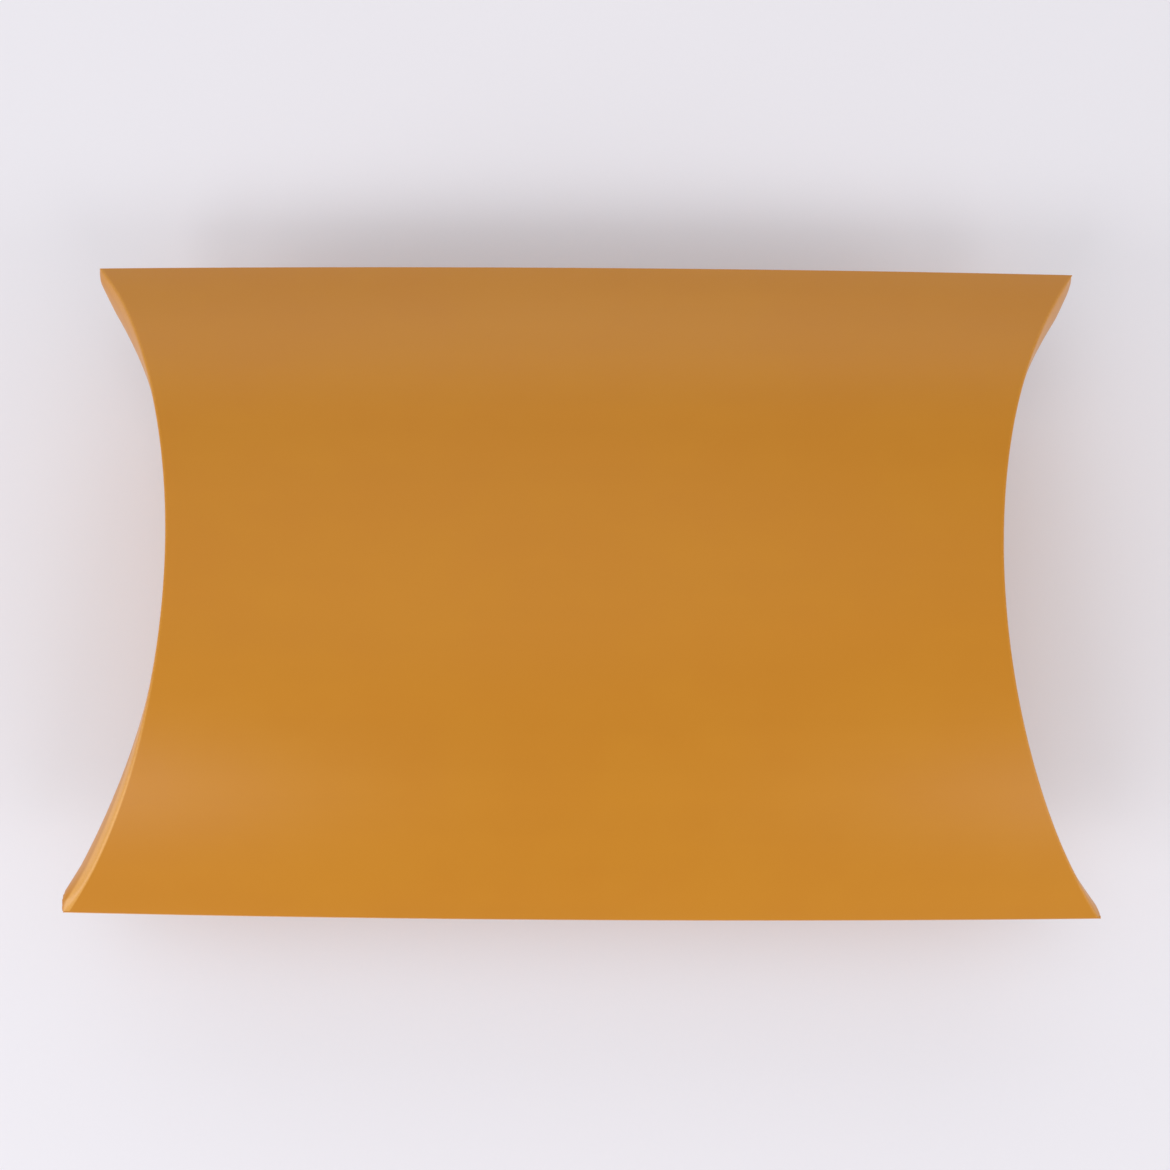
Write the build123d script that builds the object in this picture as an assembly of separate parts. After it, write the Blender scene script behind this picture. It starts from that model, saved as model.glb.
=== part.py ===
from build123d import *
import math
import os

# A pillow box of folded card. Two arched panels are joined along their long
# edges, one by a fold and one by a glued tab. Each end is closed by two flaps
# that hinge on curved creases. Lengths are millimetres, +X runs along the box,
# +Z is up, and the origin is under the middle of the box, on the surface it rests on.

# Size of the closed box, out to the sharp edges that the folds round off
box_length = 160.8
box_width = 105.5
box_height = 35.0
board_thickness = 0.45

# Arch of the two panels: a flatter crest between two tighter sides
crest_radius_share = 1.03
crest_angle_share = 0.5

# Folds along the two long edges
fold_outer_radius = 0.7
fold_half_height = 0.9

# Strip of the lower panel that lies flat on the surface under the box
rest_land_width = 8.0

# Curved creases at the ends: how far in the crest of a crease lies from the
# corners of the box, and the gap in the card at a crease
crease_depth = 19.1
crease_gap = 0.25

# Tab that closes the sleeve along its rear edge, and the adhesive on it
tab_width = 12.0
tab_end_margin = 2.0
glue_thickness = 0.1
glue_edge_margin = 2.0

# Outer flaps, hinged on the upper panel
outer_flap_length = 27.0
outer_flap_lean = 7.0
outer_corner_relief = 2.2
outer_corner_drop = 0.2
thumb_notch_radius = 7.0
thumb_notch_depth = 4.0

# Inner flaps, hinged on the lower panel and tucked behind the outer ones
inner_flap_length = 22.0
inner_corner_relief = 9.0
inner_corner_drop = 1.0

# Overrun of the cutting shapes
overrun = 5.0

half_length = box_length / 2
half_width = box_width / 2
half_height = box_height / 2
reach = box_length + overrun


def arch_sizes(width, height):
    """Radii, centres and half angle of a crest arc with a tangent arc each side."""
    half_span = width / 2
    circle_radius = (half_span ** 2 + height ** 2) / (2 * height)
    crest_radius = crest_radius_share * circle_radius
    crest_angle = crest_angle_share * 2 * math.atan(height / half_span)
    crest_centre = height - crest_radius
    run = half_span - crest_radius * math.sin(crest_angle)
    fall = crest_centre + crest_radius * math.cos(crest_angle)
    edge_angle = 2 * math.atan(fall / run) - crest_angle
    side_radius = run / (math.sin(edge_angle) - math.sin(crest_angle))
    side_across = (crest_radius - side_radius) * math.sin(crest_angle)
    side_up = crest_centre + (crest_radius - side_radius) * math.cos(crest_angle)
    return crest_radius, crest_centre, math.degrees(crest_angle), side_radius, side_across, side_up


def arch_edges(width, height, inset):
    """The three arcs of an arch from one foot to the other, moved in by inset."""
    crest_radius, crest_centre, crest_angle, side_radius, side_across, side_up = arch_sizes(width, height)
    side = side_radius - inset
    foot_angle = math.degrees(math.asin(-side_up / side))
    sweep = 90 - crest_angle - foot_angle
    right = CenterArc((side_across, side_up), side, foot_angle, sweep)
    crest = CenterArc((0, crest_centre), crest_radius - inset, 90 - crest_angle, 2 * crest_angle)
    left = CenterArc((-side_across, side_up), side, 90 + crest_angle, sweep)
    return [right, crest, left]


def land_level():
    """Depth of the flat land below the middle plane of the box."""
    crest_radius = arch_sizes(box_width, box_height / 2)[0]
    return half_height - crest_radius + math.sqrt(crest_radius ** 2 - (rest_land_width / 2) ** 2)


def lens(inset, radius):
    """Section of the box: two arches foot to foot, with rounded feet and the flat land."""
    upper = arch_edges(box_width, half_height, inset)
    lower = [edge.mirror(Plane.XZ) for edge in upper]
    outline = make_face(Wire(upper + lower))
    feet = outline.vertices().sort_by(Axis.X)
    outline = fillet([feet[0], feet[-1]], radius) if radius > 0 else outline
    level = land_level() - inset
    above = Pos(0, (half_height + overrun - level) / 2) * Rectangle(reach, half_height + overrun + level)
    return outline & above


def ring(outer_inset, inner_inset):
    """Sleeve between two insets from the outside of the card, along the whole box."""
    outer = lens(outer_inset, fold_outer_radius - outer_inset)
    inner = lens(inner_inset, fold_outer_radius - inner_inset)
    section = Plane.YZ * (outer - inner)
    return extrude(section, half_length, both=True)


def end_hollow(depth, inset):
    """Plan of the hollow that a curved crease leaves at the right end, moved in by inset."""
    edges = arch_edges(box_width, depth, inset)
    chord = Line(edges[0] @ 0, edges[-1] @ 1)
    return Pos(half_length, 0) * Rot(0, 0, 90) * make_face(edges + [chord])


def end_cuts(margin):
    """Tools that shape both ends, standing a margin inside the creases."""
    right = extrude(end_hollow(crease_depth, -margin), reach, both=True)
    return right + mirror(right, Plane.YZ)


def slab(low, high):
    """Everything between two heights."""
    return Pos(0, 0, (low + high) / 2) * Box(reach, reach, high - low)


def band(low, high):
    """Everything between two places across the box."""
    return Pos(0, (low + high) / 2, 0) * Box(reach, high - low, reach)


def panels():
    """The card of both panels, which ends where the flaps lap over it."""
    return ring(0, board_thickness) - end_cuts(board_thickness + crease_gap)


def folds():
    """The card along both long edges, which runs out to the corners of the box."""
    card = ring(0, board_thickness) & slab(-fold_half_height, fold_half_height)
    return card - end_cuts(0)


def upper_panel():
    """The arched panel on top."""
    return panels() & slab(fold_half_height, reach)


def lower_panel():
    """The arched panel underneath, with its flat land."""
    return panels() & slab(-reach, -fold_half_height)


def long_fold():
    """The folded card along the front edge."""
    return folds() & band(-reach, 0)


def tab_zone(margin):
    """Where the tab, or a strip a margin inside it, lies across the box."""
    return band(half_width - tab_width + margin, half_width - margin)


def glue_line():
    """Adhesive between the tab and the inside of the upper panel."""
    film = ring(board_thickness, board_thickness + glue_thickness)
    film = film & tab_zone(glue_edge_margin) & slab(fold_half_height, reach)
    return film - end_cuts(tab_end_margin + glue_edge_margin)


def seam_tab():
    """The fold along the rear edge and the tab that goes on inside the upper panel."""
    tab = ring(board_thickness, 2 * board_thickness) & tab_zone(0)
    tab = (tab & slab(-fold_half_height, reach)) - end_cuts(tab_end_margin)
    return (folds() & band(0, reach)) + tab - glue_line()


def flap_card(lean):
    """Curved card through the upper crease of the right end, leaning out below it."""
    tilt = math.tan(math.radians(lean))
    depth = crease_depth - tilt * half_height
    plan = end_hollow(depth, -board_thickness) - end_hollow(depth, 0)
    foot = Pos(tilt * box_height, 0, -box_height) * plan
    return extrude(foot, 2 * box_height, dir=(-tilt, 0, 1))


def within_box():
    """Block inside the outer faces of the box, which flaps don't stand proud of."""
    return extrude(Plane.YZ * lens(0, fold_outer_radius), reach)


def free_edge(length, relief, drop):
    """Block above the curved free edge of a flap and between its relieved corners."""
    side = half_width - relief
    lowest = half_height - length
    edge = ThreePointArc((-side, -drop), (0, lowest), (side, -drop))
    top = half_height + overrun
    sides = Polyline((side, -drop), (side, top), (-side, top), (-side, -drop))
    return extrude(Plane.YZ * make_face([edge, sides]), 2 * reach)


def thumb_notch():
    """Rounded notch in the middle of the free edge of an outer flap."""
    level = half_height - outer_flap_length + thumb_notch_depth - thumb_notch_radius
    return Pos(half_length, 0, level) * Rot(0, 90, 0) * Cylinder(thumb_notch_radius, reach / 2)


def outer_flap():
    """Upper flap of the right end."""
    card = flap_card(outer_flap_lean)
    card = card & free_edge(outer_flap_length, outer_corner_relief, outer_corner_drop)
    return (card & within_box()) - thumb_notch()


def inner_flap():
    """Lower flap of the right end."""
    card = flap_card(0)
    card = card & free_edge(inner_flap_length, inner_corner_relief, inner_corner_drop)
    return mirror(card, Plane.XY) & within_box()


def make_parts():
    """Every piece in its place in the closed box, by name."""
    outer = outer_flap()
    inner = inner_flap()
    pieces = {
        "upper_panel": upper_panel(),
        "lower_panel": lower_panel(),
        "long_fold": long_fold(),
        "seam_tab": seam_tab(),
        "glue_line": glue_line(),
        "right_outer_flap": outer,
        "right_inner_flap": inner,
        "left_outer_flap": mirror(outer, Plane.YZ),
        "left_inner_flap": mirror(inner, Plane.YZ),
    }
    return {name: Pos(0, 0, land_level()) * piece for name, piece in pieces.items()}


os.makedirs("parts", exist_ok=True)
for name, piece in make_parts().items():
    piece.label = name
    export_step(piece, f"parts/{name}.step")
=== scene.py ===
"""A pillow box of folded card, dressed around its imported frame.

Two arched sheets of coated card are joined along their long edges by a fold and a
glued seam, and each end is closed by two flaps that hang from curved creases. All
lengths are metres, +X runs along the box, +Z is up, and the origin is under its middle.
"""

import math

import bmesh
import bpy
from bpy.props import FloatProperty, FloatVectorProperty, PointerProperty
from mathutils import Matrix, Vector


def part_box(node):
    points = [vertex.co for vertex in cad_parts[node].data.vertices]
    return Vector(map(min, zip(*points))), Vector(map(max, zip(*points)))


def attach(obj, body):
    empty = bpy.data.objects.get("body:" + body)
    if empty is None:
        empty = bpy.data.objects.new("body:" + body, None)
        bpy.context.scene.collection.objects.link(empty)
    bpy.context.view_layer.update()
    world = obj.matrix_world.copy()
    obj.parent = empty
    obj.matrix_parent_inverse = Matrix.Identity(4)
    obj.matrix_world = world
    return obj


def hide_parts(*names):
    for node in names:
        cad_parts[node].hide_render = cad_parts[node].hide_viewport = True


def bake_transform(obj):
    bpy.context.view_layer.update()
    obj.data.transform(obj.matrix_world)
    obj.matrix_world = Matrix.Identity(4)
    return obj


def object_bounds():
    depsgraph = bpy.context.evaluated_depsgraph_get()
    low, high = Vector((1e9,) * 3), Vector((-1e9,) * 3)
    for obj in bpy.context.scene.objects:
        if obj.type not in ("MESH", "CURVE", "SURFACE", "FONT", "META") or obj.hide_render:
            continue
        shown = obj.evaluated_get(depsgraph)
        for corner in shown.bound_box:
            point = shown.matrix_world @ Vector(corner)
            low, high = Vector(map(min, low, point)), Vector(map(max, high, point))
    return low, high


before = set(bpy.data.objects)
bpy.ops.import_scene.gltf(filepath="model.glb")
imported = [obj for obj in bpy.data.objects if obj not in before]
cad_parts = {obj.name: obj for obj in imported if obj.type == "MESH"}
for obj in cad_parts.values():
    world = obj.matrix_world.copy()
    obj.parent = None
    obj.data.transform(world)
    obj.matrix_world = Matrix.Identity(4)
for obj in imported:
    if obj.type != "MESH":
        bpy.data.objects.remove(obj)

bl_info = {
    "name": "Pillow Box",
    "version": (1, 0, 0),
    "blender": (4, 5, 0),
    "location": "View3D > Sidebar > Pillow Box",
    "description": "Builds a folded card pillow box and its studio around a packed frame",
    "category": "Add Mesh",
}

CAD_LOW, CAD_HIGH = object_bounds()
FRONT_FOLD_LOW, FRONT_FOLD_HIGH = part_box("long_fold")

# Heights are told from the middle plane, where the two sheets meet at the long edges
MIDDLE = (FRONT_FOLD_LOW.z + FRONT_FOLD_HIGH.z) / 2
CREST = CAD_HIGH.z - MIDDLE
LAND = MIDDLE - CAD_LOW.z

MM = 0.001

# How finely the card is divided
NOTCH_STEPS = 8
SIDE_STEPS = 40
ALONG_STEPS = 18
FOLD_STEPS = 16
TAB_STEPS = 10
HANGING_STEPS = 12

# How even the spacing of points is across and along the box, where 1 is fully even
EVEN_SHARE = 0.45

# Where the root of a flap has its lines of points, down from its crease
ROOT_SHARES = (0, 0.02, 0.08, 0.2, 0.35, 0.5, 0.65, 0.82, 1)

# Limits where a flap runs out towards a corner: the most that its strip takes of the height
# there, the least that it hangs down, and the most that its root takes of its length
STRIP_SHARE = 0.6
TIP_SHARE = 0.4
ROOT_SHARE = 0.85

# Rounding of the creases, the lines of points of a flap whose coating is lightened as rub and painted
# highlight, and the sharpest edge that is shaded smooth
CREASE_ROUND_PERCENT = 60
CREASE_ROUND_SEGMENTS = 5
RUB_AND_HIGHLIGHT_COLUMNS = (0, 1, 2)
SMOOTH_ANGLE = math.radians(38)

# Sides of the round floor, and width of the camera's sensor in millimetres
FLOOR_SIDES = 96
SENSOR_WIDTH = 36

# Where each lamp stands, its width and its height, in metres
LAMPS = {
    "left": ((-0.85, -0.4, 0.36), 0.5, 0.5),
    "right": ((0.85, -0.4, 0.34), 0.5, 0.5),
    "front_left": ((-0.47, -0.63, 0.62), 0.35, 0.35),
    "front_right": ((0.47, -0.63, 0.62), 0.35, 0.35),
    "rear": ((-0.1, 0.9, 0.41), 1.6, 0.5),
    "top": ((-0.15, 0.2, 0.95), 1.0, 1.0),
}


def length(name, description, default):
    """A size that a user would change, shown as a distance."""
    return FloatProperty(name=name, description=description, default=default, unit="LENGTH", precision=5)


def angle(name, description, degrees):
    """An angle that a user would change."""
    return FloatProperty(
        name=name, description=description, default=math.radians(degrees), subtype="ANGLE", unit="ROTATION"
    )


def power(name, description, default):
    """Power of a lamp."""
    return FloatProperty(name=name, description=description, default=default, unit="POWER")


def share(name, description, default):
    """A plain number from 0 to 1."""
    return FloatProperty(name=name, description=description, default=default, subtype="FACTOR", min=0, max=1)


def colour(name, description, default):
    """A colour in scene linear values."""
    return FloatVectorProperty(
        name=name, description=description, default=default, size=3, subtype="COLOR", min=0, max=1
    )


class PillowBoxSizes(bpy.types.PropertyGroup):
    """Sizes of the folded card."""

    card_thickness: length("Card thickness", "Thickness of the board", 0.45 * MM)
    edge_cutback: length("Edge cutback", "How far the rounded long edges stay inside the arch", 0.44 * MM)
    crest_radius_share: FloatProperty(
        name="Crest radius share", description="Crest radius against one plain arc", default=1.03
    )
    crest_angle_share: share("Crest angle share", "Share of the arch that the flatter crest takes", 0.5)
    end_narrowing: length("End narrowing", "How much nearer each long edge lies at the ends", 0.68 * MM)
    crest_sag: length("Crest sag", "How much lower the crest lies halfway along the box", 0.9 * MM)
    crease_depth: length("Crease depth", "How far in the crest of a crease lies from the corners", 18.73 * MM)
    crease_shoulder: length("Crease shoulder", "Card before the crease that turns down with it", 0.5 * MM)
    crease_strip: length("Crease strip", "Card past the crease that stays with the sleeve", 1.1 * MM)
    fold_radius: length("Fold radius", "Outer radius of the front fold", 0.7 * MM)
    seam_radius: length("Seam radius", "Outer radius of the fold under the rear seam", 0.5 * MM)
    seam_margin: length("Seam margin", "How far the rear fold stops short of the creases", 0.8 * MM)
    seam_setback: length("Seam setback", "From the sharp rear edge to the upper sheet's cut edge", 0.56 * MM)
    glue_thickness: length("Glue thickness", "Adhesive between the tab and the upper sheet", 0.1 * MM)
    tab_width: length("Tab width", "Width of the glued tab", 12 * MM)
    tab_margin: length("Tab margin", "How far the tab stops short of the creases", 2 * MM)
    outer_flap_length: length("Outer flap length", "From the crest to the free edge", 27 * MM)
    outer_flap_lean: angle("Outer flap lean", "How far the outer flaps lean out at rest", 6.8)
    outer_edge_drop: length("Outer edge drop", "How far below the middle an outer flap's edge ends", 0.2 * MM)
    inner_flap_length: length("Inner flap length", "From the lowest point to the free edge", 22 * MM)
    inner_flap_lean: angle("Inner flap lean", "How far the inner flaps lean in at rest", 2.9)
    inner_edge_drop: length("Inner edge drop", "How far below the middle an inner flap's edge ends", 1.6 * MM)
    notch_radius: length("Notch radius", "Radius of the thumb notch", 7 * MM)
    notch_depth: length("Notch depth", "Depth of the thumb notch", 4 * MM)
    spring_depth: length("Spring depth", "Depth over which a flap springs out at a corner", 6 * MM)
    left_front_spring: length("Left front spring", "How far the flap springs out at this corner", 2.28 * MM)
    left_rear_spring: length("Left rear spring", "How far the flap springs out at this corner", 1.7 * MM)
    right_front_spring: length("Right front spring", "How far the flap springs out at this corner", 1.49 * MM)
    right_rear_spring: length("Right rear spring", "How far the flap springs out at this corner", 1.83 * MM)
    left_front_start_share: share("Left front start", "Where the spring begins across the half width", 0.0)
    left_rear_start_share: share("Left rear start", "Where the spring begins across the half width", 0.31)
    right_front_start_share: share("Right front start", "Where the spring begins across the half width", 0.73)
    right_rear_start_share: share("Right rear start", "Where the spring begins across the half width", 0.4)
    left_front_taper: share("Left front taper", "How much the spring dies down towards the tip", 0.3)
    left_rear_taper: share("Left rear taper", "How much the spring dies down towards the tip", 0.65)
    right_front_taper: share("Right front taper", "How much the spring dies down towards the tip", 0.48)
    right_rear_taper: share("Right rear taper", "How much the spring dies down towards the tip", 0.76)
    left_front_inset: length("Left front inset", "How much further in the crease lies here", 0.45 * MM)
    left_rear_inset: length("Left rear inset", "How much further in the crease lies here", 0.4 * MM)
    right_front_inset: length("Right front inset", "How much further in the crease lies here", 0.0)
    right_rear_inset: length("Right rear inset", "How much further in the crease lies here", -0.2 * MM)
    corner_zone: length("Corner zone", "How near a corner the rear edge is squared off", 0.9 * MM)
    bend_reach: length("Bend reach", "Depth of card that bends when a flap opens", 11 * MM)


class PillowBoxColours(bpy.types.PropertyGroup):
    """Colours of the card, the glue and the studio."""

    coating: colour("Coating", "Mustard coating of the card", (0.538, 0.212, 0.008))
    coating_warm: colour("Warm coating", "Redder tone in the coating", (0.53, 0.204, 0.008))
    # Lighter tint of the folds: partly rubbed coating, partly a painted highlight along the creases
    rub_and_highlight_tint: colour("Scuffed coating", "Coating where folds have rubbed", (0.85, 0.46, 0.12))
    board_core: colour("Board core", "Cut edge of the card", (0.56, 0.25, 0.035))
    glue: colour("Glue", "Dried adhesive", (0.6, 0.5, 0.3))
    floor: colour("Floor", "Paper sweep under the box", (0.83, 0.81, 0.862))
    sky: colour("Sky", "Even light around the box", (1.0, 1.0, 1.0))
    backdrop: colour("Backdrop", "What is seen past the floor", (0.8, 0.78, 0.83))


class PillowBoxTextures(bpy.types.PropertyGroup):
    """Grain, relief and wear of the finishes."""

    cloud_grain: length("Cloud grain", "Size of the clouds in the coating", 26 * MM)
    patch_grain: length("Patch grain", "Size of the patches in the coating", 7 * MM)
    band_grain: length("Band grain", "Spacing of the roller bands in the coating", 5 * MM)
    band_stretch: share("Band stretch", "Scale of the bands along the box, where small is long", 0.05)
    fibre_grain: length("Fibre grain", "Size of the fibres that show through the coating", 0.35 * MM)
    coating_relief: length("Coating relief", "Height of the patches and fibres", 0.006 * MM)
    satin: share("Satin", "Roughness of the smoothest coating", 0.29)
    sheen: share("Sheen", "How strongly the coating reflects", 0.33)
    # How much the folds are lightened, partly as rubbed coating and partly as painted highlight along the
    # creases
    fold_rub_and_highlight: share("Wear", "How much every fold is rubbed", 0.05)
    broken_rub_and_highlight: share("Broken wear", "How much more it is rubbed between the fibres", 0.15)
    # Extra painted highlight on the left front crease, where the lamps light its rounded bead
    left_front_highlight: share("Handled wear", "How much more it is rubbed on the left front crease", 0.36)
    # Where the painted highlight on the left front crease begins and where it is strongest
    highlight_from: length("Handled from", "Where the handled part begins, across the box", -12 * MM)
    highlight_to: length("Handled to", "Where it is handled most, across the box", -40 * MM)
    highlight_left: length("Handled left", "Where it is handled most, along the box", -50 * MM)
    layer_grain: length("Layer grain", "Thickness of the layers in the core of the card", 0.12 * MM)
    layer_relief: length("Layer relief", "Height of the layers", 0.01 * MM)
    glue_grain: length("Glue grain", "Size of the runs in the glue", 3 * MM)
    glue_relief: length("Glue relief", "Height of the runs in the glue", 0.03 * MM)
    sweep_grain: length("Sweep grain", "Size of the clouds in the floor paper", 180 * MM)
    sweep_fibre_grain: length("Sweep fibre grain", "Size of the fibres in the floor paper", 0.8 * MM)


class PillowBoxStudio(bpy.types.PropertyGroup):
    """Camera, light and floor."""

    camera_distance: length("Camera distance", "From the camera to the middle of the box", 199.88 * MM)
    camera_across: length("Camera across", "Sideways shift of the camera", 0.105 * MM)
    camera_down: length("Camera down", "Downward shift of the camera", 0.237 * MM)
    camera_tilt: angle("Camera tilt", "Lean of the view from straight down, towards the front", 7.309)
    camera_roll: angle("Camera roll", "Turn of the view about its own axis", 0.356)
    camera_yaw: angle("Camera yaw", "Lean of the view to one side", -0.104)
    focal_length: FloatProperty(
        name="Focal length", description="In millimetres on a 36 mm sensor", default=38.58
    )
    camera_near: length("Camera near", "The camera sees nothing nearer than this", 10 * MM)
    floor_radius: length("Floor radius", "Radius of the round floor", 650 * MM)
    floor_drop: length("Floor drop", "Gap between the floor and the box", 0.05 * MM)
    sky_strength: FloatProperty(name="Sky strength", description="Even light on everything", default=0.52)
    left_power: power("Left lamp", "Soft low lamp on the left", 3.1)
    right_power: power("Right lamp", "Soft low lamp on the right", 2.4)
    front_left_power: power("Front left lamp", "Soft lamp towards the left front corner", 1.42)
    front_right_power: power("Front right lamp", "Soft lamp towards the right front corner", 1.05)
    rear_power: power("Rear lamp", "Wide soft low lamp behind the box", 2.1)
    top_power: power("Top lamp", "Wide soft lamp over the box", 1.35)


def sizes():
    """The sizes in use."""
    return bpy.context.scene.pillow_box_sizes


def colours():
    """The colours in use."""
    return bpy.context.scene.pillow_box_colours


def textures():
    """Grain, relief and wear in use."""
    return bpy.context.scene.pillow_box_textures


def studio():
    """Camera, light and floor in use."""
    return bpy.context.scene.pillow_box_studio


class Arch:
    """Cross-section of a sheet: a flatter crest arc between two tighter side arcs."""

    def __init__(self, half_width, height, radius_share, angle_share):
        plain_radius = (half_width ** 2 + height ** 2) / (2 * height)
        crest_angle = angle_share * 2 * math.atan(height / half_width)
        self.half_width = half_width
        self.crest_radius = radius_share * plain_radius
        self.crest_level = height - self.crest_radius
        self.crest_across = self.crest_radius * math.sin(crest_angle)
        run = half_width - self.crest_across
        fall = self.crest_level + self.crest_radius * math.cos(crest_angle)
        self.foot_angle = 2 * math.atan(fall / run) - crest_angle
        self.side_radius = run / (math.sin(self.foot_angle) - math.sin(crest_angle))
        inward = self.crest_radius - self.side_radius
        self.side_across = inward * math.sin(crest_angle)
        self.side_level = self.crest_level + inward * math.cos(crest_angle)

    def centre(self, across):
        """Centre and radius of the arc above a place across the box."""
        if abs(across) <= self.crest_across:
            return 0, self.crest_level, self.crest_radius
        return math.copysign(self.side_across, across), self.side_level, self.side_radius

    def height(self, across):
        """Height of the outer face above the middle plane."""
        centre_across, centre_level, radius = self.centre(across)
        return centre_level + math.sqrt(radius ** 2 - (across - centre_across) ** 2)

    def inside(self, across, inset):
        """The point a given depth under the outer face, square to it."""
        centre_across, centre_level, radius = self.centre(across)
        ratio = (radius - inset) / radius
        under = centre_across + ratio * (across - centre_across)
        return under, centre_level + ratio * (self.height(across) - centre_level)


def arch():
    """The arch of both sheets, out to the sharp long edges."""
    size = sizes()
    half_width = CAD_HIGH.y + size.edge_cutback
    return Arch(half_width, CREST, size.crest_radius_share, size.crest_angle_share)


def crease_reach(level, lowest=0):
    """How far along the box a crease lies at a height above or below the middle plane.
    Where the card ends short of that plane, lowest is the height of its edge."""
    return CAD_HIGH.x - sizes().crease_depth * (abs(level) - lowest) / (CREST - lowest)


def narrowing(along_share):
    """Width of the sleeve against its width halfway along."""
    return 1 - sizes().end_narrowing * along_share ** 2 / arch().half_width


def sagging(along_share):
    """Height of the sleeve against its height at the creases."""
    return 1 - sizes().crest_sag * (1 - along_share ** 2) / CREST


def smooth_step(value):
    """Rises gently from 0 to 1."""
    value = min(max(value, 0), 1)
    return value * value * (3 - 2 * value)


def eased(steps):
    """Shares from 0 to 1 that crowd together towards 1."""
    plain = [step / steps for step in range(1, steps + 1)]
    return [EVEN_SHARE * value + (1 - EVEN_SHARE) * math.sin(value * math.pi / 2) for value in plain]


def across_stations(front, rear):
    """Places across the box where the card gets a line of points, from front to rear.
    They follow the round of the thumb notch in the middle and crowd towards the long edges."""
    size = sizes()
    opening = math.acos(1 - size.notch_depth / size.notch_radius)
    notch = [
        size.notch_radius * math.sin(opening * step / NOTCH_STEPS)
        for step in range(-NOTCH_STEPS, NOTCH_STEPS + 1)
    ]
    to_front = [notch[0] + (front - notch[0]) * value for value in eased(SIDE_STEPS)]
    to_rear = [notch[-1] + (rear - notch[-1]) * value for value in eased(SIDE_STEPS)]
    return to_front[::-1] + notch + to_rear


def front_tangent():
    """How far across the box the sheets run into the front fold."""
    section = arch()
    to_sharp = sizes().fold_radius / math.tan(section.foot_angle)
    return section.half_width - to_sharp * math.cos(section.foot_angle)


def seam_corner():
    """Sharp corner of the fold under the rear seam, across the box and above the middle."""
    size = sizes()
    section = arch()
    depth = size.card_thickness + size.glue_thickness
    along_slope = depth / math.sin(2 * section.foot_angle)
    across = section.half_width - along_slope * math.cos(section.foot_angle)
    return across, -along_slope * math.sin(section.foot_angle)


def rear_tangent():
    """How far across the box the lower sheet runs into the fold under the rear seam."""
    section = arch()
    to_sharp = sizes().seam_radius / math.tan(section.foot_angle)
    return seam_corner()[0] - to_sharp * math.cos(section.foot_angle)


def cut_edge_place():
    """How far across the box the upper sheet ends at the rear."""
    section = arch()
    return section.half_width - sizes().seam_setback * math.cos(section.foot_angle)


def upper_reach(across):
    """How far along the box the crease of the upper sheet lies at a place across it."""
    section = arch()
    lowest = section.height(cut_edge_place()) if across > 0 else 0
    return crease_reach(section.height(across), lowest)


def upper_stations():
    """Lines of points on the upper sheet and its flaps."""
    return across_stations(-front_tangent(), cut_edge_place())


def lower_stations():
    """Lines of points on the lower sheet and its flaps."""
    return across_stations(-front_tangent(), rear_tangent())


class FlapLine:
    """How a flap hangs from its crease at one place across the box.
    side is 1 at the right end and -1 at the left, and up is 1 for the upper sheet's flaps."""

    def __init__(self, across, side, up):
        size = sizes()
        crease_level = arch().height(across)
        self.level = crease_level if up > 0 else min(crease_level, LAND)
        self.lean = math.tan(size.outer_flap_lean if up > 0 else -size.inner_flap_lean)
        strip = min(size.crease_strip, STRIP_SHARE * self.level)
        self.length = max(self.level - strip + self.free_edge(across, up), TIP_SHARE * self.level)
        self.root = min(size.spring_depth, ROOT_SHARE * self.length)
        inset, spring = self.corner_shifts(across, side) if up > 0 else (0, 0)
        self.reach = (upper_reach(across) if up > 0 else crease_reach(self.level)) - inset
        self.spring = spring + inset - self.lean * (size.spring_depth - self.root)
        slope = (2 * self.spring + self.lean * size.spring_depth) / self.root
        self.out = strip * slope / math.hypot(slope, 1)
        self.down = strip / math.hypot(slope, 1)
        self.length += strip - self.down

    def free_edge(self, across, up):
        """How far past the middle plane the free edge lies."""
        size = sizes()
        flap_length = size.outer_flap_length if up > 0 else size.inner_flap_length
        at_ends = size.outer_edge_drop if up > 0 else -size.inner_edge_drop
        middle = flap_length - CREST
        rise = middle - at_ends
        half_width = arch().half_width
        radius = (half_width ** 2 + rise ** 2) / (2 * rise)
        edge = middle - radius + math.sqrt(radius ** 2 - across ** 2)
        if up > 0 and abs(across) < size.notch_radius:
            centre = middle - size.notch_depth + size.notch_radius
            edge = min(edge, centre - math.sqrt(size.notch_radius ** 2 - across ** 2))
        return edge

    def corner_shifts(self, across, side):
        """How far in the crease lies near a corner, and how far out the card has sprung there."""
        size = sizes()
        end = "right" if side > 0 else "left"
        edge = "front" if across < 0 else "rear"
        start = getattr(size, f"{end}_{edge}_start_share")
        full = getattr(size, f"{end}_{edge}_spring")
        taper = getattr(size, f"{end}_{edge}_taper")
        near = (abs(across) / arch().half_width - start) / (1 - start)
        inset = getattr(size, f"{end}_{edge}_inset")
        strength = smooth_step(near) * (self.root / size.spring_depth) ** taper
        return inset * strength, full * strength


def add_grid(name, along, across, rotation=(0, 0, 0)):
    """Adds a flat grid with that many points each way, on the middle plane, and opens it."""
    bpy.ops.object.select_all(action="DESELECT")
    bpy.ops.mesh.primitive_grid_add(
        x_subdivisions=along - 1, y_subdivisions=across - 1, size=CAD_HIGH.x, rotation=rotation
    )
    piece = bpy.context.object
    bpy.ops.object.transform_apply(location=True, rotation=True, scale=True)
    piece.name = name
    piece.data.name = name
    bpy.ops.object.mode_set(mode="EDIT")
    bpy.ops.mesh.select_mode(type="VERT")
    return piece


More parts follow.
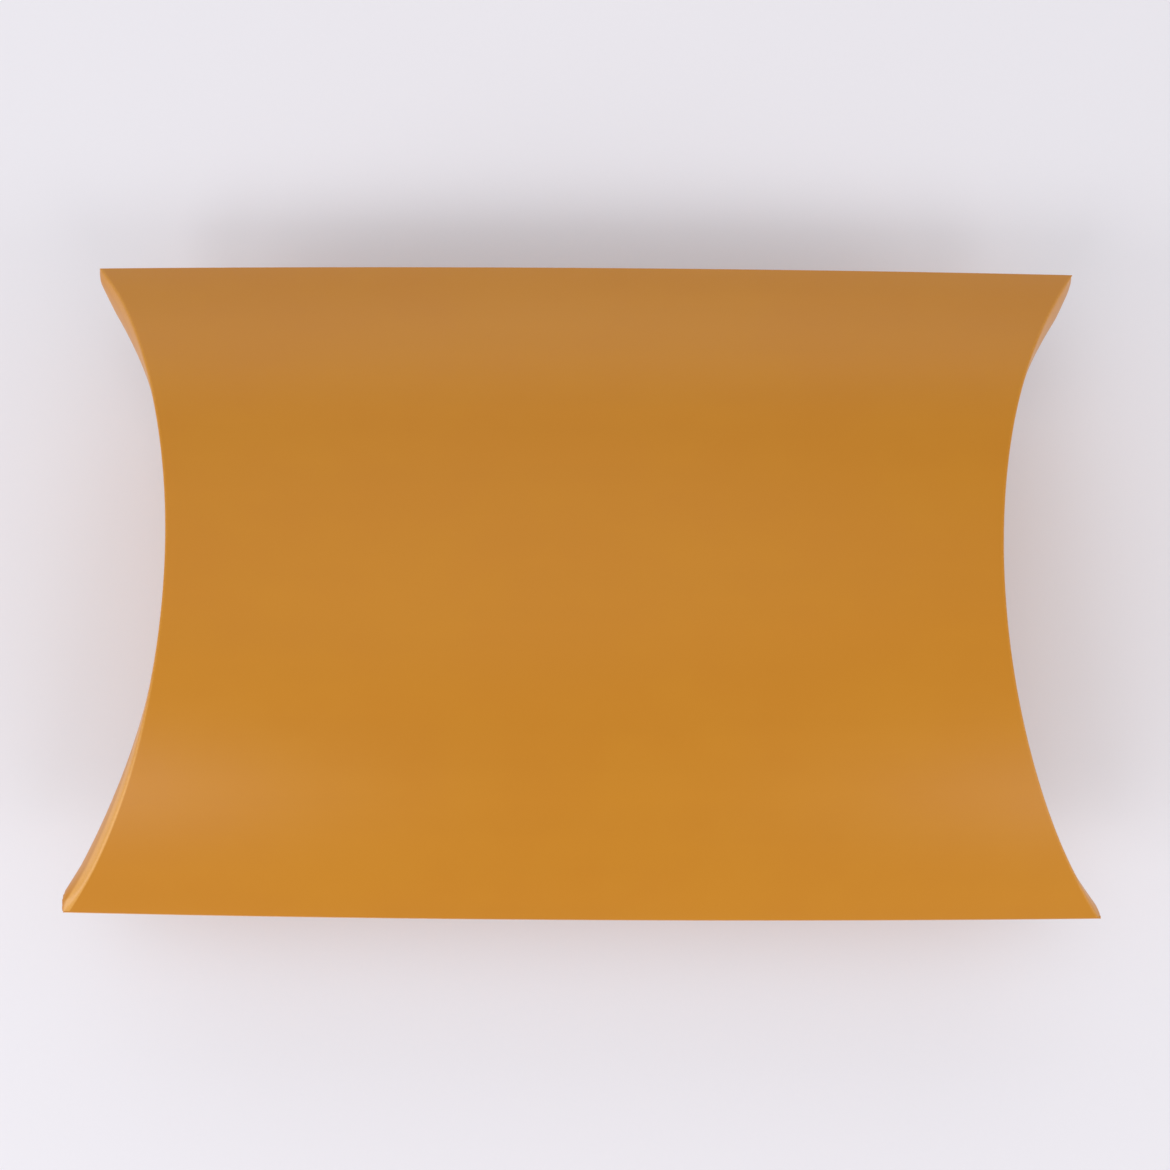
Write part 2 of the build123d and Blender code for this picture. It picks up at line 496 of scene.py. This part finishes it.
def pick(piece, numbers):
    """Selects only the points with these numbers and gives the first one's place."""
    bpy.ops.mesh.select_all(action="DESELECT")
    points = bmesh.from_edit_mesh(piece.data).verts
    points.ensure_lookup_table()
    for number in numbers:
        points[number].select = True
    return points[numbers[0]].co.copy()


def pick_row(piece, along, number):
    """Selects one row of a grid, which runs along its first direction."""
    return pick(piece, range(number * along, (number + 1) * along))


def pick_column(piece, along, number):
    """Selects one column of a grid, which runs along its second direction."""
    count = len(bmesh.from_edit_mesh(piece.data).verts)
    return pick(piece, range(number, count, along))


def move(x, y, z):
    """Moves what is selected."""
    bpy.ops.transform.translate(value=(x, y, z))


def scale(x, y, z, about):
    """Scales what is selected about a point."""
    bpy.ops.transform.resize(value=(x, y, z), center_override=about)


def along_shares():
    """Where a sheet has its columns, as shares of the way from the middle to a crease."""
    half = eased(ALONG_STEPS)
    return [-value for value in reversed(half)] + [0] + half


def folded_shares():
    """Where a sheet that folds down at its ends has its columns, with three at each crease."""
    return [-1, -1] + along_shares() + [1, 1]


def roll_sheet(name, profile, shares):
    """A sheet that runs along the box: each entry of its profile is a row's place
    across the box, its height above the middle plane and how far along it reaches."""
    along = len(shares)
    piece = add_grid(name, along, len(profile))
    for number, value in enumerate(shares):
        start = pick_column(piece, along, number)
        move(value * CAD_HIGH.x - start.x, 0, 0)
    for number, (across, level, reach) in enumerate(profile):
        start = pick_row(piece, along, number)
        move(0, across - start.y, MIDDLE + level - start.z)
        scale(reach / CAD_HIGH.x, 1, 1, (0, 0, 0))
    for number, value in enumerate(shares):
        pick_column(piece, along, number)
        scale(1, narrowing(value), sagging(value), (0, 0, MIDDLE))
    return piece


def crease_ends(piece, stations, up):
    """Turns the ends of a sheet down over its creases, and rounds the creases. Of the three
    columns there the inner one makes a shoulder, and the outer one ends the strip past the crease."""
    size = sizes()
    along = len(folded_shares())
    for column, inward in ((2, 1), (along - 3, -1)):
        pick_column(piece, along, column)
        move(inward * size.crease_shoulder, 0, 0)
    for number, across in enumerate(stations):
        first = number * along
        for outer, inner, side in ((0, 2, -1), (along - 1, along - 3, 1)):
            line = FlapLine(across, side, up)
            crease = pick(piece, [first + outer])
            pick(piece, range(first + min(outer, inner), first + max(outer, inner) + 1))
            move(side * line.reach - crease.x, 0, 0)
            pick(piece, [first + outer])
            move(side * line.out, 0, -up * line.down)
    flatten_tips(piece)
    pick(piece, [number * along + outer for number in range(len(stations)) for outer in (0, along - 1)])
    mark_rub_and_highlight(piece)
    bpy.ops.mesh.select_mode(type="EDGE")
    bpy.ops.mesh.select_all(action="DESELECT")
    mesh = bmesh.from_edit_mesh(piece.data)
    creases = (1, along - 2)
    for edge in mesh.edges:
        columns = {point.index % along for point in edge.verts}
        edge.select = len(columns) == 1 and columns.pop() in creases
    bpy.ops.mesh.bevel(
        offset_type="PERCENT", offset_pct=CREASE_ROUND_PERCENT, segments=CREASE_ROUND_SEGMENTS
    )
    bpy.ops.mesh.select_mode(type="VERT")
    mark_rub_and_highlight(piece)


def flatten_tips(piece):
    """Presses back what springs out past the corners of the box."""
    for side in (1, -1):
        points = bmesh.from_edit_mesh(piece.data).verts
        proud = [point.index for point in points if side * point.co.x > CAD_HIGH.x]
        if proud:
            pick(piece, proud)
            scale(0, 1, 1, (side * CAD_HIGH.x, 0, 0))


def square_corners(piece):
    """Presses back what stands behind the cut rear edge at the corners of the box."""
    limit = cut_edge_place() * narrowing(1)
    near = CAD_HIGH.x - sizes().corner_zone
    bpy.ops.object.mode_set(mode="EDIT")
    points = bmesh.from_edit_mesh(piece.data).verts
    proud = [point.index for point in points if point.co.y > limit and abs(point.co.x) > near]
    if proud:
        pick(piece, proud)
        scale(1, 0, 1, (0, limit, 0))
    bpy.ops.object.mode_set(mode="OBJECT")


def mark_rub_and_highlight(piece):
    """Marks what is selected as a fold, where the coating is lightened partly as rub, partly as painted
    highlight.
    """
    if not piece.vertex_groups:
        bpy.ops.object.vertex_group_add()
        piece.vertex_groups.active.name = "rubbed"
    bpy.ops.object.vertex_group_assign()


def apply_modifier(piece, kind, **settings):
    """Adds a modifier with these settings and applies it."""
    modifier = piece.modifiers.new(kind.title(), kind)
    for name, value in settings.items():
        setattr(modifier, name, value)
    bpy.ops.object.modifier_apply(modifier=modifier.name)


def thicken(piece, rim=1):
    """Gives a sheet its board, inwards, coated on both sides. Its edges show the core at
    rim 1 and the coating at rim 0."""
    bpy.ops.object.mode_set(mode="OBJECT")
    piece.data.materials.append(finished("coated_card_finish", coated_card))
    piece.data.materials.append(finished("cut_edge_finish", cut_edge))
    apply_modifier(
        piece,
        "SOLIDIFY",
        thickness=sizes().card_thickness,
        offset=-1,
        use_even_offset=True,
        material_offset=0,
        material_offset_rim=rim,
    )
    bpy.ops.object.shade_smooth_by_angle(angle=SMOOTH_ANGLE)


def finish_sleeve(piece, node):
    """Hands a piece of the sleeve over to the frame."""
    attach(piece, "sleeve")
    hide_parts(node)


def build_upper_card():
    """The arched sheet on top, with the rounds of its creases."""
    section = arch()
    stations = upper_stations()
    profile = [(across, section.height(across), upper_reach(across)) for across in stations]
    piece = roll_sheet("upper_card", profile, folded_shares())
    crease_ends(piece, stations, 1)
    thicken(piece)
    square_corners(piece)
    finish_sleeve(piece, "upper_panel")


def build_lower_card():
    """The arched sheet underneath, flat where it rests."""
    section = arch()
    stations = lower_stations()[::-1]
    levels = [min(section.height(across), LAND) for across in stations]
    profile = [(across, -level, crease_reach(level)) for across, level in zip(stations, levels)]
    piece = roll_sheet("lower_card", profile, folded_shares())
    crease_ends(piece, stations, -1)
    thicken(piece)
    finish_sleeve(piece, "lower_panel")


def fold_round(corner, radius, outward):
    """Points round a fold along the box, from its upper side to its lower one."""
    across, level = corner
    foot = arch().foot_angle
    centre = across - outward * radius / math.sin(foot)
    turn = math.pi / 2 - foot
    angles = [turn - 2 * turn * step / FOLD_STEPS for step in range(FOLD_STEPS + 1)]
    return [
        (centre + outward * radius * math.cos(value), level + radius * math.sin(value)) for value in angles
    ]


def build_front_fold():
    """The folded card along the front edge."""
    rounded = fold_round((-arch().half_width, 0), sizes().fold_radius, -1)
    profile = [(across, level, crease_reach(level)) for across, level in reversed(rounded)]
    piece = roll_sheet("front_fold", profile, along_shares())
    along = len(along_shares())
    quarter = FOLD_STEPS // 4
    pick(piece, range(quarter * along, (FOLD_STEPS - quarter + 1) * along))
    mark_rub_and_highlight(piece)
    thicken(piece, rim=0)
    finish_sleeve(piece, "long_fold")


def build_rear_seam():
    """The fold along the rear edge and its tab, glued under the upper sheet."""
    size = sizes()
    section = arch()
    rounded = fold_round(seam_corner(), size.seam_radius, 1)
    depth = size.card_thickness + size.glue_thickness
    inner_edge = section.half_width - size.tab_width
    outer_edge = rounded[0][0] + depth * math.sin(section.foot_angle)
    profile = []
    for step in range(TAB_STEPS):
        across = inner_edge + (outer_edge - inner_edge) * step / TAB_STEPS
        under, level = section.inside(across, depth)
        profile.append((under, level, crease_reach(level) - size.tab_margin))
    profile += [(across, level, crease_reach(level) - size.seam_margin) for across, level in rounded]
    piece = roll_sheet("rear_seam", profile, along_shares())
    thicken(piece)
    finish_sleeve(piece, "seam_tab")


def build_flap(name, node, side, up):
    """A flap that hangs from its curved crease, or stands on it for an inner one."""
    size = sizes()
    stations = upper_stations() if up > 0 else lower_stations()
    if side * up < 0:
        stations.reverse()
    root_last = len(ROOT_SHARES) - 1
    depths = [value * size.spring_depth for value in ROOT_SHARES]
    full_length = size.outer_flap_length
    step = (full_length - size.spring_depth) / HANGING_STEPS
    depths += [size.spring_depth + step * number for number in range(1, HANGING_STEPS + 1)]
    deep = len(depths)
    piece = add_grid(name, deep, len(stations), rotation=(0, up * math.pi / 2, 0))
    lines = [FlapLine(across, side, up) for across in stations]
    for number, line in enumerate(lines):
        pick_row(piece, deep, number)
        move(side * line.spring, 0, 0)
    for number, depth in enumerate(depths):
        start = pick_column(piece, deep, number)
        remaining = 1 - min(depth / size.spring_depth, 1)
        scale(1 - remaining ** 2, 1, 1, (0, 0, 0))
        move(side * lines[0].lean * depth, 0, -up * depth - start.z)
    for number, (across, line) in enumerate(zip(stations, lines)):
        first = number * deep
        root_end = pick(piece, [first + root_last])
        pick(piece, range(first + root_last + 1, first + deep))
        ratio = (line.length - line.root) / (full_length - size.spring_depth)
        scale(ratio, 1, ratio, root_end)
        move(0, 0, up * (size.spring_depth - line.root))
        pick(piece, range(first, first + root_last + 1))
        scale(1, 1, line.root / size.spring_depth, (0, 0, 0))
        start = pick_row(piece, deep, number)
        place_across = across * narrowing(1)
        move(side * (line.reach + line.out), place_across - start.y, MIDDLE + up * (line.level - line.down))
    flatten_tips(piece)
    root = [number * deep + column for number in range(len(stations)) for column in RUB_AND_HIGHLIGHT_COLUMNS]
    pick(piece, root)
    mark_rub_and_highlight(piece)
    thicken(piece)
    if up > 0:
        square_corners(piece)
    crest = Vector((side * crease_reach(CREST), 0, MIDDLE + up * CREST))
    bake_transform(piece)
    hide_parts(node)


class Shade:
    """One value on its way through a finish. Sums written with it add the nodes they need."""

    def __init__(self, finish, socket):
        self.finish = finish
        self.socket = socket

    def math(self, operation, first, second):
        """A Math node on two values."""
        return self.finish.node("ShaderNodeMath", {"operation": operation}, {0: first, 1: second})

    def __add__(self, other):
        return self.math("ADD", self, other)

    __radd__ = __add__

    def __sub__(self, other):
        return self.math("SUBTRACT", self, other)

    def __rsub__(self, other):
        return self.math("SUBTRACT", other, self)

    def __mul__(self, other):
        return self.math("MULTIPLY", self, other)

    __rmul__ = __mul__


class Finish:
    """The nodes of a material or of the world, with the one method that adds them."""

    def __init__(self, owner):
        owner.use_nodes = True
        self.tree = owner.node_tree

    def node(self, kind, settings=None, sockets=None, output=0):
        """Adds a node: its settings first, then the values or links of its sockets."""
        made = self.tree.nodes.new(kind)
        for name, value in (settings or {}).items():
            setattr(made, name, value)
        for name, value in (sockets or {}).items():
            self.feed(made.inputs[name], value)
        return Shade(self, made.outputs[output])

    def feed(self, socket, value):
        """Links a value to a socket, or sets it there."""
        if isinstance(value, Shade):
            self.tree.links.new(value.socket, socket)
        else:
            socket.default_value = value

    def set(self, name, values):
        """Sets or links the sockets of a node that is there from the start."""
        for socket, value in values.items():
            self.feed(self.tree.nodes[name].inputs[socket], value)

    def place(self, stretch=(1, 1, 1)):
        """Object coordinates, stretched as given."""
        spot = self.node("ShaderNodeTexCoord", output="Object")
        return self.node("ShaderNodeMapping", {}, {"Vector": spot, "Scale": stretch})

    def coordinate(self, axis):
        """How far along one axis a point of the piece lies."""
        spot = self.node("ShaderNodeTexCoord", output="Object")
        return self.node("ShaderNodeSeparateXYZ", {}, {"Vector": spot}, output=axis)

    def noise(self, grain, detail=2, rough=0.5, stretch=(1, 1, 1)):
        """Soft noise from 0 to 1 whose grain is a real size."""
        return self.node(
            "ShaderNodeTexNoise",
            {},
            {"Vector": self.place(stretch), "Scale": 1 / grain, "Detail": detail, "Roughness": rough},
        )

    def between(self, value, low, high):
        """A value spread smoothly from 0 at low to 1 at high."""
        return self.node(
            "ShaderNodeMapRange",
            {"interpolation_type": "SMOOTHSTEP"},
            {"Value": value, "From Min": low, "From Max": high},
        )

    def mix(self, factor, first, second):
        """Two colours mixed."""
        return self.node(
            "ShaderNodeMix", {"data_type": "RGBA"}, {0: factor, 6: opaque(first), 7: opaque(second)}, output=2
        )

    def lighten(self, tint, factor):
        """A colour times a value."""
        return self.node("ShaderNodeVectorMath", {"operation": "SCALE"}, {0: tint, "Scale": factor})

    def bump(self, height, distance):
        """Small relief, as high as the distance where the height is 1."""
        return self.node("ShaderNodeBump", {}, {"Height": height, "Distance": distance, "Strength": 1.0})


def opaque(tint):
    """A colour with its alpha, or the shade as it is."""
    return tint if isinstance(tint, Shade) else (*tint, 1)


def dimmed(tint, factor):
    """A darker form of a plain colour."""
    return tuple(value * factor for value in tint)


def finished(name, paint):
    """The material with this name, painted the first time it is asked for."""
    found = bpy.data.materials.get(name)
    if found:
        return found
    material = bpy.data.materials.new(name)
    paint(Finish(material), colours(), textures())
    return material


def coated_card(finish, tints, texture):
    """Satin mustard coating with a clouded tone and faint roller bands. Its folds are lightened,
    partly as rubbed coating and partly as a painted highlight, most on the left front crease.
    """
    clouds = finish.noise(texture.cloud_grain, detail=3)
    patches = finish.noise(texture.patch_grain)
    bands = finish.noise(texture.band_grain, stretch=(texture.band_stretch, 1, 1))
    fibres = finish.noise(texture.fibre_grain, detail=3, rough=0.6)
    tone = finish.between(clouds * 0.7 + patches * 0.3, 0.35, 0.65)
    tint = finish.mix(tone, tints.coating_warm, tints.coating)
    tint = finish.lighten(tint, 0.965 + bands * 0.04 + fibres * 0.03)
    # Painted highlight on the creases, mixed with rub: the folds turn towards the lighter tint, most on the
    # left front crease
    rubbed = finish.node("ShaderNodeAttribute", {"attribute_name": "rubbed"}, output="Fac")
    broken = finish.between(fibres, 0.3, 0.75)
    forwards = finish.between(finish.coordinate("Y"), texture.highlight_from, texture.highlight_to)
    leftwards = finish.between(finish.coordinate("X"), 0, texture.highlight_left)
    rub_and_highlight = texture.fold_rub_and_highlight + broken * texture.broken_rub_and_highlight + forwards * leftwards * texture.left_front_highlight
    finish.set(
        "Principled BSDF",
        {
            "Base Color": finish.mix(rubbed * rub_and_highlight, tint, tints.rub_and_highlight_tint),
            "Roughness": texture.satin + patches * 0.05 + fibres * 0.06,
            "Normal": finish.bump(fibres + patches * 2, texture.coating_relief),
            "Specular IOR Level": texture.sheen,
        },
    )


def cut_edge(finish, tints, texture):
    """Core of the card at its cut edges, in thin layers."""
    layers = finish.noise(texture.layer_grain, stretch=(0.2, 0.2, 1))
    tint = finish.mix(layers, dimmed(tints.board_core, 0.75), tints.board_core)
    finish.set(
        "Principled BSDF",
        {
            "Base Color": tint,
            "Roughness": 0.85 + layers * 0.05,
            "Normal": finish.bump(layers, texture.layer_relief),
        },
    )


def dried_glue(finish, tints, texture):
    """Thin film of dried adhesive."""
    runs = finish.noise(texture.glue_grain, detail=3, stretch=(0.3, 1, 1))
    tint = finish.mix(runs, dimmed(tints.glue, 0.8), tints.glue)
    finish.set(
        "Principled BSDF",
        {
            "Base Color": tint,
            "Roughness": 0.25 + runs * 0.2,
            "Normal": finish.bump(runs, texture.glue_relief),
        },
    )


def sweep_paper(finish, tints, texture):
    """Matte paper of the floor."""
    clouds = finish.noise(texture.sweep_grain, detail=1)
    fibres = finish.noise(texture.sweep_fibre_grain)
    finish.set(
        "Principled BSDF",
        {
            "Base Color": finish.lighten(tints.floor, 0.985 + clouds * 0.01 + fibres * 0.01),
            "Roughness": 0.9,
            "Specular IOR Level": 0.1,
        },
    )


def add_lamp(name, place, width, height, watts):
    """A soft lamp that faces the box."""
    bpy.ops.object.light_add(type="AREA", location=place)
    lamp = bpy.context.object
    lamp.name = name
    lamp.data.shape = "ELLIPSE"
    lamp.data.size = width
    lamp.data.size_y = height
    lamp.data.energy = watts
    lamp.visible_camera = False
    direction = Vector((0, 0, MIDDLE)) - lamp.location
    lamp.rotation_euler = direction.to_track_quat("-Z", "Y").to_euler()


def build_floor():
    """The paper sweep under the box."""
    bpy.ops.object.select_all(action="DESELECT")
    bpy.ops.mesh.primitive_circle_add(
        vertices=FLOOR_SIDES, radius=studio().floor_radius, fill_type="NGON"
    )
    floor = bpy.context.object
    floor.name = "floor"
    floor.data.name = "floor"
    bpy.ops.object.mode_set(mode="EDIT")
    bpy.ops.mesh.select_all(action="SELECT")
    move(0, 0, -studio().floor_drop)
    bpy.ops.object.mode_set(mode="OBJECT")
    floor.data.materials.append(finished("sweep_paper_finish", sweep_paper))


def build_sky():
    """Even light on everything, and a pale backdrop where the camera sees past the floor."""
    world = bpy.data.worlds.new("sky")
    sky = Finish(world)
    sky.set("Background", {"Color": opaque(colours().sky), "Strength": studio().sky_strength})
    light = Shade(sky, sky.tree.nodes["Background"].outputs["Background"])
    backdrop = sky.node("ShaderNodeBackground", {}, {"Color": opaque(colours().backdrop)})
    seen = sky.node("ShaderNodeLightPath", output="Is Camera Ray")
    both = sky.node("ShaderNodeMixShader", {}, {"Fac": seen, 1: light, 2: backdrop})
    sky.set("World Output", {"Surface": both})
    bpy.context.scene.world = world


def build_camera():
    """The camera, above the box and leaning a little to the front."""
    view = studio()
    turn = (
        Matrix.Rotation(view.camera_yaw, 4, "Y")
        @ Matrix.Rotation(view.camera_tilt, 4, "X")
        @ Matrix.Rotation(view.camera_roll, 4, "Z")
    )
    offset = Vector((view.camera_across, -view.camera_down, view.camera_distance))
    bpy.ops.object.camera_add()
    camera = bpy.context.object
    camera.name = "camera"
    camera.matrix_world = Matrix.Translation((0, 0, MIDDLE)) @ turn @ Matrix.Translation(offset)
    camera.data.sensor_width = SENSOR_WIDTH
    camera.data.lens = view.focal_length
    camera.data.clip_start = view.camera_near
    bpy.context.scene.camera = camera


def build_stage():
    """Floor, lamps, sky and camera."""
    build_floor()
    for name, (place, width, height) in LAMPS.items():
        add_lamp(f"{name}_lamp", place, width, height, getattr(studio(), f"{name}_power"))
    build_sky()
    build_camera()
    bpy.context.scene.view_settings.view_transform = "Standard"


class PILLOWBOX_OT_upper_card(bpy.types.Operator):
    """Add the upper sheet of card"""

    bl_idname = "pillowbox.upper_card"
    bl_label = "Upper Card"

    def execute(self, context):
        build_upper_card()
        return {"FINISHED"}


class PILLOWBOX_OT_lower_card(bpy.types.Operator):
    """Add the lower sheet of card"""

    bl_idname = "pillowbox.lower_card"
    bl_label = "Lower Card"

    def execute(self, context):
        build_lower_card()
        return {"FINISHED"}


class PILLOWBOX_OT_front_fold(bpy.types.Operator):
    """Add the fold along the front edge"""

    bl_idname = "pillowbox.front_fold"
    bl_label = "Front Fold"

    def execute(self, context):
        build_front_fold()
        return {"FINISHED"}


class PILLOWBOX_OT_rear_seam(bpy.types.Operator):
    """Add the fold and the glued tab along the rear edge"""

    bl_idname = "pillowbox.rear_seam"
    bl_label = "Rear Seam"

    def execute(self, context):
        build_rear_seam()
        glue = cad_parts["glue_line"]
        glue.data.materials.clear()
        glue.data.materials.append(finished("dried_glue_finish", dried_glue))
        return {"FINISHED"}


class PILLOWBOX_OT_outer_flaps(bpy.types.Operator):
    """Add the two outer flaps, which hang from the upper creases"""

    bl_idname = "pillowbox.outer_flaps"
    bl_label = "Outer Flaps"

    def execute(self, context):
        build_flap("right_outer_card", "right_outer_flap", 1, 1)
        build_flap("left_outer_card", "left_outer_flap", -1, 1)
        return {"FINISHED"}


class PILLOWBOX_OT_inner_flaps(bpy.types.Operator):
    """Add the two inner flaps, which stand on the lower creases"""

    bl_idname = "pillowbox.inner_flaps"
    bl_label = "Inner Flaps"

    def execute(self, context):
        build_flap("right_inner_card", "right_inner_flap", 1, -1)
        build_flap("left_inner_card", "left_inner_flap", -1, -1)
        return {"FINISHED"}


class PILLOWBOX_OT_stage(bpy.types.Operator):
    """Add the floor, the lamps, the sky and the camera"""

    bl_idname = "pillowbox.stage"
    bl_label = "Stage"

    def execute(self, context):
        build_stage()
        return {"FINISHED"}


OPERATORS = (
    PILLOWBOX_OT_upper_card,
    PILLOWBOX_OT_lower_card,
    PILLOWBOX_OT_front_fold,
    PILLOWBOX_OT_rear_seam,
    PILLOWBOX_OT_outer_flaps,
    PILLOWBOX_OT_inner_flaps,
    PILLOWBOX_OT_stage,
)


class PILLOWBOX_PT_panel(bpy.types.Panel):
    """Sizes, colours and pieces of the pillow box"""

    bl_idname = "PILLOWBOX_PT_panel"
    bl_label = "Pillow Box"
    bl_space_type = "VIEW_3D"
    bl_region_type = "UI"
    bl_category = "Pillow Box"

    def draw(self, context):
        layout = self.layout
        for operator in OPERATORS:
            layout.operator(operator.bl_idname)
        for group in (
            context.scene.pillow_box_sizes,
            context.scene.pillow_box_colours,
            context.scene.pillow_box_textures,
            context.scene.pillow_box_studio,
        ):
            box = layout.box()
            for name in group.__annotations__:
                box.prop(group, name)


GROUPS = (PillowBoxSizes, PillowBoxColours, PillowBoxTextures, PillowBoxStudio)
CLASSES = GROUPS + OPERATORS + (PILLOWBOX_PT_panel,)


def register():
    """Registers the classes and hangs the settings on the scene."""
    for item in CLASSES:
        bpy.utils.register_class(item)
    bpy.types.Scene.pillow_box_sizes = PointerProperty(type=PillowBoxSizes)
    bpy.types.Scene.pillow_box_colours = PointerProperty(type=PillowBoxColours)
    bpy.types.Scene.pillow_box_textures = PointerProperty(type=PillowBoxTextures)
    bpy.types.Scene.pillow_box_studio = PointerProperty(type=PillowBoxStudio)


def unregister():
    """Takes the settings and the classes away again."""
    del bpy.types.Scene.pillow_box_studio
    del bpy.types.Scene.pillow_box_textures
    del bpy.types.Scene.pillow_box_colours
    del bpy.types.Scene.pillow_box_sizes
    for item in reversed(CLASSES):
        bpy.utils.unregister_class(item)


def main():
    """Builds the box and its studio."""
    register()
    for operator in OPERATORS:
        group, name = operator.bl_idname.split(".")
        getattr(getattr(bpy.ops, group), name)()


if __name__ == "__main__":
    main()
